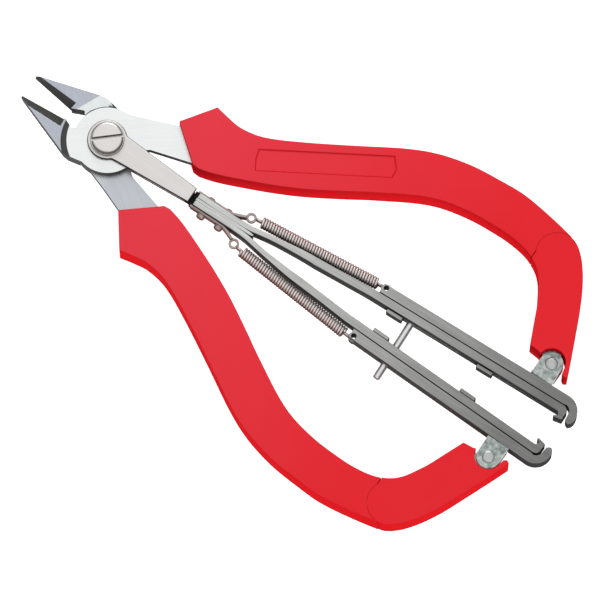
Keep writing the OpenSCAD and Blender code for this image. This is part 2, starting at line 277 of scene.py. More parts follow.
@dataclass(frozen=True)
class Steel:
    """Ground or brushed steel with painted shade on its flanks, so its level faces are brighter than its
    flanks.
    """

    name: str
    face: Colour
    flank_shading: Colour
    roughness: float
    grain_angle: float = 0.0
    grain: float = 0.12
    relief: float = 0.15
    turn: tuple[float, float] = (0.75, 0.985)
    facet_shade: Optional[Colour] = None
    far_face: Optional[Colour] = None
    far_flank_shading: Optional[Colour] = None
    fade: tuple[float, float] = (30.0, 80.0)
    edge_metal: float = 0.05
    metallic: float = 1.0

    def _plain(self, wiring: Wiring, place: bpy.types.NodeSocket,
               level: bpy.types.NodeSocket) -> bpy.types.NodeSocket:
        """The colour before the grain: painted shade by the face's slope and on slightly tilted facets, and
        along the tool when it fades.

        Args:
            wiring: the material's wiring.
            place: the Object coordinates.
            level: mask that is 1 on level faces.

        Returns:
            The colour's socket.
        """
        face, flank_shading = self.face, self.flank_shading
        if self.far_face:
            along = wiring.node("SeparateXYZ", {0: place}).outputs["X"]
            far = wiring.spread(along, 0, 1, self.fade[0] * MM, self.fade[1] * MM)
            face = wiring.mix(far, face, self.far_face)
            flank_shading = wiring.mix(far, flank_shading, self.far_flank_shading or flank_shading)
        # painted shade: faces only slightly off level take the blue-grey facet colour
        if self.facet_shade:
            flat = wiring.group(Effects.flank_shading(), {}).outputs["Flat"]
            face = wiring.mix(flat, self.facet_shade, face)
        # painted shade: steep faces take the darker flank colour
        return wiring.mix(level, flank_shading, face)

    def build(self) -> bpy.types.Material:
        """Makes the material."""
        material, wiring, place, shader = _begin(self.name)
        turned = wiring.node("Mapping", {"Vector": place,
                                         "Rotation": (0, 0, -math.radians(self.grain_angle))})
        lines = wiring.group(Effects.brushing(), {"Vector": turned.outputs[0]})
        level = wiring.group(Effects.flank_shading(), {"Low": self.turn[0], "High": self.turn[1]}).outputs["Level"]
        plain = self._plain(wiring, place, level)
        shade = wiring.spread(lines.outputs["Lines"], 1 - self.grain, 1 + self.grain * 0.6)
        cloud = wiring.spread(lines.outputs["Cloud"], 1 - self.grain * 0.5, 1.0)
        tone = wiring.node("Math", {0: shade, 1: cloud}, operation="MULTIPLY").outputs[0]
        grey = wiring.node("CombineColor", {0: tone, 1: tone, 2: tone}).outputs[0]
        wiring.tree.links.new(wiring.mix(1.0, plain, grey, "MULTIPLY"), shader.inputs["Base Color"])
        rough = wiring.spread(lines.outputs["Lines"], self.roughness * 0.85, self.roughness * 1.2)
        wiring.tree.links.new(rough, shader.inputs["Roughness"])
        bump = wiring.node("Bump", {"Height": lines.outputs["Lines"], "Strength": self.relief,
                                    "Distance": 0.00002})
        wiring.tree.links.new(bump.outputs[0], shader.inputs["Normal"])
        wiring.tree.links.new(wiring.spread(level, self.edge_metal, self.metallic), shader.inputs["Metallic"])
        shader.inputs["Specular IOR Level"].default_value = 0.0
        return material


@dataclass(frozen=True)
class MouldedGrip:
    """Smooth moulded plastic with a fine skin, a painted sheen on its level faces, painted shade on its
    slightly darker flanks and its edges, and painted shade near the floor.
    """

    name: str = "moulded_red"
    # painted sheen: the level faces' pale pink tint, which fades towards the rear into the plain far_face red
    face: Colour = (0.89, 0.033, 0.056)
    far_face: Colour = (0.89, 0.006, 0.016)
    # painted shade on the steep walls
    flank_shading: Colour = (0.69, 0.010, 0.015)
    # painted shade on the rounded edges, under the lower edges and near the floor
    rim: Colour = (0.30, 0.004, 0.009)
    bloom: Colour = (0.86, 0.10, 0.12)
    roughness: float = 0.36
    fade: tuple[float, float] = (20.0, 90.0)
    # heights over which the painted shade near the floor fades out, mm
    rim_shade_height: tuple[float, float] = (0.3, 1.3)

    def build(self) -> bpy.types.Material:
        """Makes the material."""
        material, wiring, place, shader = _begin(self.name)
        skin = wiring.group(Effects.speckle(), {"Vector": place, "Scale": 1500.0})
        broad = wiring.node("TexNoise", {"Vector": place, "Scale": 45.0, "Detail": 3.0}).outputs[0]
        level = wiring.group(Effects.flank_shading(), {"Low": 0.55, "High": 0.97}).outputs["Level"]
        along = wiring.node("SeparateXYZ", {0: place}).outputs["X"]
        # painted sheen on the level faces, fading out towards the rear
        face = wiring.mix(wiring.spread(along, 0, 1, self.fade[0] * MM, self.fade[1] * MM), self.face,
                          self.far_face)
        # painted shade: steep walls take the darker flank colour
        plain = wiring.mix(level, self.flank_shading, face)
        # painted shade: the rim colour on the rounded edges between level faces and walls, and under the
        # lower edges
        low = wiring.group(Effects.flank_shading(), {"Low": 0.02, "High": 0.3})
        high = wiring.group(Effects.flank_shading(), {"Low": 0.86, "High": 0.99}).outputs["Level"]
        turn = wiring.node("Math", {0: low.outputs["Level"], 1: high}, operation="SUBTRACT").outputs[0]
        edge_shaded = wiring.mix(wiring.spread(turn, 0.0, 0.15), plain, self.rim)
        edge_shaded = wiring.mix(low.outputs["Under"], edge_shaded, self.rim)
        # painted shade near the floor, at the foot of the walls
        height = wiring.node("SeparateXYZ", {0: place}).outputs["Z"]
        start, stop = (value * MM for value in self.rim_shade_height)
        edge_shaded = wiring.mix(wiring.spread(height, 0.75, 0, start, stop), edge_shaded, self.rim)
        pale = wiring.mix(wiring.spread(broad, 0.0, 0.05, 0.35, 0.75), edge_shaded, self.bloom)
        wiring.tree.links.new(pale, shader.inputs["Base Color"])
        wiring.tree.links.new(wiring.spread(level, 0.0, 0.5), shader.inputs["Coat Weight"])
        shader.inputs["Coat Roughness"].default_value = 0.25
        shader.inputs["Specular IOR Level"].default_value = 0.0
        rough = wiring.spread(skin.outputs["Fine"], self.roughness * 0.9, self.roughness * 1.15)
        wiring.tree.links.new(rough, shader.inputs["Roughness"])
        bump = wiring.node("Bump", {"Height": skin.outputs["Patches"], "Strength": 0.12, "Distance": 0.00003})
        wiring.tree.links.new(bump.outputs[0], shader.inputs["Normal"])
        return material


@dataclass(frozen=True)
class ZincPlate:
    """Bright mottled zinc plating, with a painted highlight on its flanks and rounded edges."""

    name: str = "zinc_plate"
    pale: Colour = (0.58, 0.63, 0.61)
    deep: Colour = (0.16, 0.20, 0.19)
    # painted highlight on the flanks and rounded edges
    rim: Colour = (0.80, 0.82, 0.81)
    roughness: float = 0.24

    def build(self) -> bpy.types.Material:
        """Makes the material."""
        material, wiring, place, shader = _begin(self.name)
        patches = wiring.group(Effects.speckle(), {"Vector": place, "Scale": 750.0})
        plain = wiring.mix(patches.outputs["Patches"], self.deep, self.pale)
        level = wiring.group(Effects.flank_shading(), {"Low": 0.5, "High": 0.95}).outputs["Level"]
        wiring.tree.links.new(wiring.mix(level, self.rim, plain), shader.inputs["Base Color"])
        rough = wiring.spread(patches.outputs["Fine"], self.roughness * 0.7, self.roughness * 1.5)
        wiring.tree.links.new(rough, shader.inputs["Roughness"])
        bump = wiring.node("Bump", {"Height": patches.outputs["Patches"], "Strength": 0.35,
                                    "Distance": 0.00004})
        wiring.tree.links.new(bump.outputs[0], shader.inputs["Normal"])
        shader.inputs["Metallic"].default_value = 1.0
        return material


@dataclass(frozen=True)
class PaleFloor:
    """Plain white floor."""

    name: str = "pale_floor"
    glow: float = 0.85

    def build(self) -> bpy.types.Material:
        """Makes the material."""
        material, wiring, _, shader = _begin(self.name)
        wiring.feed(shader, {"Base Color": (0.93, 0.93, 0.93, 1), "Roughness": 0.9,
                             "Specular IOR Level": 0.1, "Emission Color": (1, 1, 1, 1),
                             "Emission Strength": self.glow})
        return material


@dataclass
class Palette:
    """Every finish of the tool, made once."""

    # Each steel's flank colour is painted shade on its steep faces; the head's and the tang's facet colour is
    # painted blue-grey shade on their slightly tilted facets.
    head: Steel = Steel("polished_head", (0.91, 0.935, 0.93), (0.085, 0.085, 0.080), 0.30, 35, 0.04, 0.05,
                        (0.86, 0.955), facet_shade=(0.50, 0.53, 0.60))
    # painted shade: the lower lever's tang fades to the greyer far colour beyond 6 mm along X
    tang: Steel = Steel("ground_tang", (0.84, 0.88, 0.88), (0.085, 0.085, 0.080), 0.30, -35, 0.08, 0.08,
                        (0.86, 0.955), facet_shade=(0.50, 0.53, 0.60), far_face=(0.58, 0.61, 0.65),
                        fade=(-1.0, 6.0))
    yoke: Steel = Steel("warm_yoke", (0.78, 0.75, 0.73), (0.035, 0.032, 0.03), 0.33, 0, 0.06, 0.08)
    screw: Steel = Steel("turned_screw", (0.80, 0.77, 0.75), (0.16, 0.145, 0.14), 0.28, 41, 0.05, 0.05)
    # The arm turns darker towards the rear, from 36 to 118 mm along X.
    arm: Steel = Steel("brushed_arm", (0.66, 0.67, 0.65), (0.085, 0.085, 0.085), 0.36, 2, 0.2, 0.25,
                       far_face=(0.235, 0.235, 0.232), far_flank_shading=(0.04, 0.04, 0.04), fade=(36.0, 118.0))
    link: Steel = Steel("link_core_steel", (0.55, 0.57, 0.57), (0.12, 0.12, 0.12), 0.34, -60, 0.14, 0.2)
    pin: Steel = Steel("bright_pin", (0.80, 0.80, 0.80), (0.30, 0.29, 0.29), 0.22, 90, 0.06, 0.05,
                       edge_metal=0.4)
    # painted shade on the wire's sides makes dark stripes between the turns
    wire: Steel = Steel("spring_wire", (0.86, 0.79, 0.76), (0.13, 0.08, 0.07), 0.30, 5, 0.08, 0.05,
                        turn=(0.35, 0.95), edge_metal=0.05, metallic=0.4)
    anchor: Steel = Steel("anchor_steel", (0.52, 0.44, 0.41), (0.17, 0.12, 0.11), 0.34, 0, 0.14, 0.2,
                          turn=(0.3, 0.95), edge_metal=0.1, metallic=0.5)
    # painted shade: a near-black finish for the yoke's block and well, put in the gap at the yoke's end where
    # shadow falls
    shade: Steel = Steel("painted_shade_core", (0.03, 0.03, 0.03), (0.02, 0.02, 0.02), 0.6, 0, 0.1, 0.1)
    grip: MouldedGrip = MouldedGrip()
    zinc: ZincPlate = ZincPlate()
    made: dict[str, bpy.types.Material] = field(default_factory=dict)

    def get(self, finish: object) -> bpy.types.Material:
        """The material of a finish, made at its first use."""
        if finish.name not in self.made:
            self.made[finish.name] = finish.build()
        return self.made[finish.name]


# ---------------------------------------------------------------- making pieces


class Bench:
    """Makes meshes with bmesh operators and turns them into pieces of the frame. Sizes are in mm."""

    def __init__(self, palette: Palette) -> None:
        """Keeps the palette that pieces are dressed from."""
        self.palette = palette

    @staticmethod
    def merged(node: str, split: bool = False) -> bmesh.types.BMesh:
        """A welded copy of a CAD node's mesh in mm, its flat faces joined up.

        Args:
            node: the CAD node.
            split: whether the joined faces are cut into triangles, for faces with openings in them.

        Returns:
            The mesh.
        """
        bm = bmesh.new()
        bm.from_mesh(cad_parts[node].data)
        bmesh.ops.scale(bm, vec=(1 / MM,) * 3, verts=bm.verts)
        bmesh.ops.remove_doubles(bm, verts=bm.verts, dist=0.002)
        bmesh.ops.dissolve_limit(bm, angle_limit=math.radians(0.7), verts=bm.verts, edges=bm.edges)
        if split:
            bmesh.ops.triangulate(bm, faces=[f for f in bm.faces if len(f.verts) > 4])
        return bm

    @staticmethod
    def flow(points: Sequence[Point], steps: int = 5) -> list[Point]:
        """A smooth run through the points.

        Args:
            points: at least two points.
            steps: pieces between neighbouring points.

        Returns:
            The points of the run, first and last included.
        """
        run: list[Point] = []
        for i in range(len(points) - 1):
            a, b = Vector(points[i]), Vector(points[i + 1])
            before = Vector(points[i - 1]) if i else a
            after = Vector(points[i + 2]) if i + 2 < len(points) else b
            reach = (b - a).length / 3
            leave = (b - before).normalized() * reach
            arrive = (after - a).normalized() * reach
            piece = geometry.interpolate_bezier(a, a + leave, b - arrive, b, steps + 1)
            run += [(p[0], p[1]) for p in piece[:-1]]
        run.append(points[-1])
        return run

    @staticmethod
    def arc(centre: Point, radius: float, start: float, stop: float, steps: int) -> list[Point]:
        """Points on an arc, with the angles in degrees."""
        angles = [math.radians(start + (stop - start) * i / steps) for i in range(steps + 1)]
        return [(centre[0] + radius * math.cos(a), centre[1] + radius * math.sin(a)) for a in angles]

    @staticmethod
    def plate(outline: Sequence[Point], low: float, high: float) -> bmesh.types.BMesh:
        """A flat plate of an outline between two heights."""
        bm = bmesh.new()
        bm.faces.new([bm.verts.new((x, y, low)) for x, y in outline])
        raised = bmesh.ops.extrude_face_region(bm, geom=bm.faces[:])
        verts = [v for v in raised["geom"] if isinstance(v, bmesh.types.BMVert)]
        bmesh.ops.translate(bm, vec=(0, 0, high - low), verts=verts)
        return Bench.outward(bm)

    @staticmethod
    def outward(bm: bmesh.types.BMesh) -> bmesh.types.BMesh:
        """Points every face of a closed solid outward."""
        bmesh.ops.recalc_face_normals(bm, faces=bm.faces)
        if bm.calc_volume(signed=True) < 0:
            bmesh.ops.reverse_faces(bm, faces=bm.faces)
        return bm

    @staticmethod
    def lathe(profile: Sequence[Point], steps: int = 40) -> bmesh.types.BMesh:
        """A turned solid about Z.

        Args:
            profile: (radius, height) points; the first and the last lie on the axis.
            steps: facets round it.

        Returns:
            The closed solid.
        """
        bm = bmesh.new()
        verts = [bm.verts.new((r, 0, z)) for r, z in profile]
        edges = [bm.edges.new(pair) for pair in zip(verts, verts[1:])]
        bmesh.ops.spin(bm, geom=verts + edges, cent=(0, 0, 0), axis=(0, 0, 1), angle=math.tau,
                       steps=steps, use_merge=True)
        bmesh.ops.remove_doubles(bm, verts=bm.verts, dist=0.001)
        return Bench.outward(bm)

    @staticmethod
    def round_edges(bm: bmesh.types.BMesh, width: float, segments: int = 3, angle: float = 25.0,
                    crisp: Optional[tuple[Point, float]] = None) -> None:
        """Rounds the edges that are sharper than an angle.

        Args:
            bm: the solid.
            width: width of the rounding, mm.
            segments: steps across it.
            angle: the least angle between the faces, in degrees.
            crisp: centre and radius of a circle whose own edges stay sharp.
        """
        sharp = [e for e in bm.edges if e.is_manifold and e.calc_face_angle(0) > math.radians(angle)]
        if crisp:
            centre, reach = Vector((*crisp[0], 0)), crisp[1]
            sharp = [e for e in sharp if any(((v.co - centre).xy).length > reach for v in e.verts)]
        bmesh.ops.bevel(bm, geom=sharp, offset=width, offset_type="OFFSET", affect="EDGES",
                        segments=segments, profile=0.5, material=-1, clamp_overlap=True)

    @staticmethod
    def place(bm: bmesh.types.BMesh, matrix: Matrix) -> bmesh.types.BMesh:
        """Moves a whole bmesh."""
        bmesh.ops.transform(bm, matrix=matrix, verts=bm.verts)
        return bm

    @staticmethod
    def turn_over(bm: bmesh.types.BMesh) -> bmesh.types.BMesh:
        """Turns an upper piece half round about the tool's long centre line into its lower twin."""
        up = Matrix.Translation((0, 0, MID))
        return Bench.place(bm, up @ Matrix.Rotation(math.pi, 4, "X") @ up.inverted())

    @staticmethod
    def join(parts: Iterable[bmesh.types.BMesh]) -> bmesh.types.BMesh:
        """Puts several solids in one bmesh."""
        whole = bmesh.new()
        for part in parts:
            mesh = bpy.data.meshes.new("part")
            part.to_mesh(mesh)
            part.free()
            whole.from_mesh(mesh)
            bpy.data.meshes.remove(mesh)
        return whole

    @staticmethod
    def cut(solid: bmesh.types.BMesh, cutter: bmesh.types.BMesh) -> bmesh.types.BMesh:
        """The solid without what the cutter covers."""
        objects = []
        for bm in (solid, cutter):
            mesh = bpy.data.meshes.new("cut")
            bm.to_mesh(mesh)
            bm.free()
            obj = bpy.data.objects.new("cut", mesh)
            bpy.context.scene.collection.objects.link(obj)
            objects.append(obj)
        tool = objects[0].modifiers.new("cut", "BOOLEAN")
        tool.operation, tool.object, tool.solver = "DIFFERENCE", objects[1], "EXACT"
        depsgraph = bpy.context.evaluated_depsgraph_get()
        result = bpy.data.meshes.new_from_object(objects[0].evaluated_get(depsgraph))
        bm = bmesh.new()
        bm.from_mesh(result)
        for obj in objects:
            mesh = obj.data
            bpy.data.objects.remove(obj)
            bpy.data.meshes.remove(mesh)
        bpy.data.meshes.remove(result)
        return bm

    def piece(self, name: str, bm: bmesh.types.BMesh, finish: object, slot: Slot, body: Optional[str],
              stands_for: Sequence[str] = (), smooth: float = 34.0) -> bpy.types.Object:
        """Finishes a piece and fixes it to the frame.

        Args:
            name: the piece's name.
            bm: its shape in mm.
            finish: its finish.
            slot: the record's slot; not used.
            body: the body it rides on, or None when it rides on none.
            stands_for: the CAD nodes it replaces.
            smooth: edges sharper than this angle in degrees stay crisp.

        Returns:
            The piece's object.
        """
        bmesh.ops.scale(bm, vec=(MM,) * 3, verts=bm.verts)
        mesh = bpy.data.meshes.new(name)
        bm.to_mesh(mesh)
        bm.free()
        mesh.polygons.foreach_set("use_smooth", [True] * len(mesh.polygons))
        mesh.set_sharp_from_angle(angle=math.radians(smooth))
        mesh.materials.append(self.palette.get(finish))
        obj = bpy.data.objects.new(name, mesh)
        bpy.context.scene.collection.objects.link(obj)
        if body:
            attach(obj, body)
        if stands_for:
            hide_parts(*stands_for)
        LOG.info("%s: %d faces on %s", name, len(mesh.polygons), body or "two bodies")
        return obj

    def eased(self, node: str, finish: object, slot: Slot, body: str, width: float = 0.14,
              segments: int = 3, angle: float = 28.0, split: bool = False) -> bpy.types.Object:
        """A CAD node with its sharp edges eased, in its place.

        Args:
            node: the CAD node.
            finish: its finish.
            slot: the record's slot.
            body: the body it rides on.
            width: width of the eased edge, mm.
            segments: steps across the eased edge.
            angle: edges sharper than this, in degrees, are eased.
            split: whether its flat faces are cut into triangles first.

        Returns:
            The piece's object.
        """
        obj = self.piece(node + "_eased", self.merged(node, split), finish, slot, body, (node,), smooth=28.0)
        ease = obj.modifiers.new("ease", "BEVEL")
        ease.width, ease.segments, ease.limit_method = width * MM, segments, "ANGLE"
        ease.angle_limit, ease.miter_outer, ease.harden_normals = math.radians(angle), "MITER_ARC", True
        return obj


# ---------------------------------------------------------------- sub-assemblies


@dataclass
class CutterHead:
    """The two crossing levers with their ground jaws, and the screw and nut of the pivot."""

    bench: Bench
    head_radius: float = 3.75
    head_low: float = 8.8
    head_high: float = 10.35
    slot_width: float = 0.8
    slot_depth: float = 1.15
    slot_angle: float = 41.0

    def build(self) -> None:
        """Makes the levers, the screw, the washer and the nut."""
        colours = self.bench.palette
        self.bench.eased("upper_lever", colours.head, Slot.HEAD, "upper_handle", 0.12)
        self.bench.eased("lower_lever", colours.tang, Slot.HEAD, "lower_handle", 0.12)
        self._screw()
        self.bench.eased("pivot_washer", colours.screw, Slot.SCREW, "yoke", 0.12)
        self.bench.eased("pivot_nut", colours.screw, Slot.SCREW, "yoke", 0.15)

    def _screw(self) -> None:
        """Makes the slotted screw: a low cheese head with a rounded rim on a plain shank."""
        r, low, high = self.head_radius, self.head_low, self.head_high
        head = self.bench.lathe([(0, 0.9), (2.2, 0.9), (2.2, low), (r - 0.1, low), (r, low + 0.15),
                                 (r, high - 0.5), (r - 0.08, high - 0.25), (r - 0.28, high - 0.07),
                                 (r - 0.6, high), (0, high)], 72)
        cutter = bmesh.new()
        bmesh.ops.create_cube(cutter, size=1)
        bmesh.ops.scale(cutter, vec=(12, self.slot_width, 2 * self.slot_depth), verts=cutter.verts)
        turn = Matrix.Translation((0, 0, high)) @ Matrix.Rotation(math.radians(self.slot_angle), 4, "Z")
        slotted = self.bench.cut(head, self.bench.place(cutter, turn))
        self.bench.piece("pivot_screw_slotted", slotted, self.bench.palette.screw, Slot.SCREW, "yoke",
                         ("pivot_screw",), 30)


@dataclass
class Yoke:
    """The two leaves on the pivot, the block between them, and the riveted roots of the arms."""

    bench: Bench
    rivet_x: tuple[float, float] = (28.0, 32.9)
    neck_end: float = 24.0
    # length of the near-black well of painted shade after the block's end, mm
    shadow_well: float = 1.15

    def build(self) -> None:
        """Makes the leaves, the block with its tongue, the rivets and the spring anchors."""
        colours = self.bench.palette
        self.bench.eased("yoke_top_leaf", colours.yoke, Slot.YOKE, "yoke", 0.3, 4)
        self.bench.eased("yoke_bottom_leaf", colours.yoke, Slot.YOKE, "yoke", 0.2)
        self._block()
        self._rivets()
        for side in Side:
            self.bench.eased(side.part("spring_anchor"), colours.anchor, Slot.ANCHOR, "yoke", 0.1, 2)

    def _block(self) -> None:
        """Makes the block, sunk below the leaf at its end, and the tongue that the arms lie on; the block and
        its well are near-black, painted shade for the gap between the leaf's end and the arms.
        """
        end = self.neck_end
        block = self.bench.plate([(9.4, -1.1), (end, -1.1), (end, 1.1), (9.4, 1.1)],
                                 BAR_LOW - 0.05, BAR_HIGH + 0.05)
        # painted shade: the dark well fills the gap between the leaf's end and the arms
        shadow_well = self.bench.plate([(end, -1.8), (end + self.shadow_well, -1.75), (end + self.shadow_well, 1.75), (end, 1.8)],
                                BAR_LOW + 0.2, BAR_HIGH - 1.6)
        tongue = self.bench.plate([(end + self.shadow_well, -0.33), (40, -0.33), (41, -0.2), (41, 0.2), (40, 0.33),
                                   (end + self.shadow_well, 0.33)], BAR_LOW + 0.1, BAR_HIGH - 0.06)
        self.bench.piece("yoke_block_painted_shade", self.bench.join([block, shadow_well]), self.bench.palette.shade,
                         Slot.YOKE, "yoke", ("yoke_block",))
        self.bench.piece("yoke_tongue", tongue, self.bench.palette.arm, Slot.YOKE, "yoke")

    def _rivets(self) -> None:
        """Makes the rivets, each with a domed head on the lower side and a flat one above."""
        parts = []
        for x in self.rivet_x:
            rivet = self.bench.lathe([(0, -2.6), (0.62, -2.6), (1.0, -2.3), (1.05, -2.15), (0.6, -2.15),
                                      (0.6, 2.16), (1.06, 2.16), (1.06, 2.75), (0.95, 3.08), (0.7, 3.28),
                                      (0.36, 3.35), (0, 3.36)], 28)
            turn = Matrix.Translation((x, 0, MID)) @ Matrix.Rotation(math.pi / 2, 4, "X")
            parts.append(self.bench.place(rivet, turn))
        self.bench.piece("root_rivets_domed", self.bench.join(parts), self.bench.palette.anchor,
                         Slot.ANCHOR, "yoke", ("root_rivets",))


@dataclass
class Handle:
    """One bow handle: the moulded grip and the knuckle pin."""

    bench: Bench
    side: Side
    edge: float = 0.75
    socket_radius: float = 5.17
    panel_centre: Point = (45.9, 23.5)
    panel_size: tuple[float, float] = (32.6, 4.8)
    panel_angle: float = 30.8
    panel_depth: float = 0.3
    panel_slant: float = 0.6

    def outline(self) -> list[Point]:
        """The grip's edge: the front corner, the outer bow, the knuckle's socket and the inner bow."""
        flow, arc = self.bench.flow, self.bench.arc
        outer = flow([(17.3, 20.6), (20.6, 19.95), (24.6, 19.5), (30.2, 20.6), (38.5, 24.7), (49.8, 31.2),
                      (59.3, 36.8), (66.1, 39.9), (74.3, 42.0), (82.4, 42.8), (88.0, 43.05), (93.6, 42.5),
                      (99.6, 41.5), (103.3, 40.75)])
        socket = arc(KNUCKLE, self.socket_radius, 84, 204, 18)
        inner = flow([(98.0, 31.55), (96.2, 32.2), (93.0, 32.8), (88.6, 33.05), (79.5, 32.45), (70.6, 30.2),
                      (59.3, 24.1), (52.6, 20.0), (45.1, 15.6), (38.3, 12.2), (32.7, 9.75), (28.0, 7.8),
                      (24.6, 6.6), (21.7, 5.85)])
        return [(11.7, 12.8)] + outer + socket + inner + [(20.1, 6.0)]

    def build(self) -> None:
        """Makes the grip, with its plain sunk panel on the upper one, and the pin."""
        grip = self.bench.plate(self.outline(), 0, GRIP_HIGH)
        self.bench.round_edges(grip, self.edge, 4, 30, (KNUCKLE, self.socket_radius + 0.05))
        if self.side is Side.UPPER:
            grip = self.bench.cut(grip, self._panel())
        else:
            grip = self.bench.turn_over(grip)
        colours = self.bench.palette
        self.bench.piece(self.side.part("grip_moulded"), grip, colours.grip, Slot.GRIP,
                         self.side.part("handle"), (self.side.part("grip"),), 30)
        self.bench.eased(self.side.part("knuckle_pin"), colours.pin, Slot.SCREW, self.side.part("handle"))

    def _panel(self) -> bmesh.types.BMesh:
        """The cutter of the sunk panel: two chamfered ends and sloping walls."""
        end, half = self.panel_size[0] / 2, self.panel_size[1] / 2
        slant = self.panel_slant
        outline = [(slant - end, half), (-end, slant / 2), (-end, -half), (end - 1.5 * slant, -half),
                   (end, -slant), (end - slant, half)]
        cutter = self.bench.plate(outline, -self.panel_depth, self.panel_depth)
        top = [v for v in cutter.verts if v.co.z > 0]
        flare = 2 * self.panel_depth
        bmesh.ops.scale(cutter, vec=(1 + flare / end, 1 + flare / half, 1), verts=top)
        place = Matrix.Translation((*self.panel_centre, GRIP_HIGH)) @ Matrix.Rotation(
            math.radians(self.panel_angle), 4, "Z")
        return self.bench.place(cutter, place)


@dataclass
class Link:
    """One rear link: the moulded cover with its round knuckle, and the steel core inside it."""

    bench: Bench
    side: Side
    edge: float = 0.55
    knuckle_radius: float = 5.1
    notch_radius: float = 3.3

    def outline(self) -> list[Point]:
        """The cover's edge: the knuckle, the inner side, the notch for the bracket and the outer side."""
        flow, arc = self.bench.flow, self.bench.arc
        knuckle = arc(KNUCKLE, self.knuckle_radius, 62, 206, 22)
        inner = flow([(98.15, 31.45), (99.7, 30.6), (101.2, 29.4), (102.6, 27.75), (103.9, 25.6),
                      (105.4, 22.9), (107.2, 18.8), (109.3, 14.0)])
        notch = arc(CLEVIS, self.notch_radius, 176, 8, 16)
        horn = [(119.35, 12.3), (120.1, 11.85), (120.85, 12.3)]
        outer = flow([(119.8, 14.9), (118.2, 18.7), (116.3, 23.1), (113.6, 29.2), (111.0, 33.8),
                      (108.4, 37.3), (106.3, 39.3)])
        return knuckle + inner + [(112.0, 13.75)] + notch + horn + outer

    def build(self) -> None:
        """Makes the cover and eases the core."""
        cover = self.bench.plate(self.outline(), 0, GRIP_HIGH)
        self.bench.round_edges(cover, self.edge, 4, 30, (KNUCKLE, self.knuckle_radius + 0.05))
        if self.side is Side.LOWER:
            cover = self.bench.turn_over(cover)
        colours, body = self.bench.palette, self.side.part("link")
        self.bench.piece(self.side.part("link_moulded"), cover, colours.grip, Slot.GRIP, body,
                         (self.side.part("link_cover"),), 30)
        self.bench.eased(self.side.part("link_core"), colours.link, Slot.STRIP, body)


@dataclass
class GripperArm:
    """One inner arm: the spring strip from the yoke, and the brushed bar with its barb."""

    bench: Bench
    side: Side
    root: float = 25.15
    seam: float = 56.6
    inset: float = 0.02

    def build(self) -> None:
        """Makes the strip, widened to meet the bar, and eases the bar."""
        colours, body = self.bench.palette, self.side.part("arm")
        outer = self.bench.flow([(self.root, 1.67), (38.5, 1.67), (45, 2.62), (52.3, 3.63),
                                 (self.seam, 4.01)])
        inner = self.bench.flow([(self.seam, 2.13), (52.3, 1.95), (45, 1.33), (38.5, 0.36),
                                 (self.root, 0.36)])
        strip = self.bench.plate(outer + inner, BAR_LOW + self.inset, BAR_HIGH - self.inset)
        self.bench.round_edges(strip, 0.14, 3)
        if self.side is Side.LOWER:
            strip = self.bench.turn_over(strip)
        obj = self.bench.piece(self.side.part("flex_strip_rolled"), strip, colours.arm, Slot.STRIP, None,
                               (self.side.part("flex_strip"),))
        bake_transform(obj)
        self.bench.eased(self.side.part("gripper_bar"), colours.arm, Slot.ARM, body, 0.14, split=True)


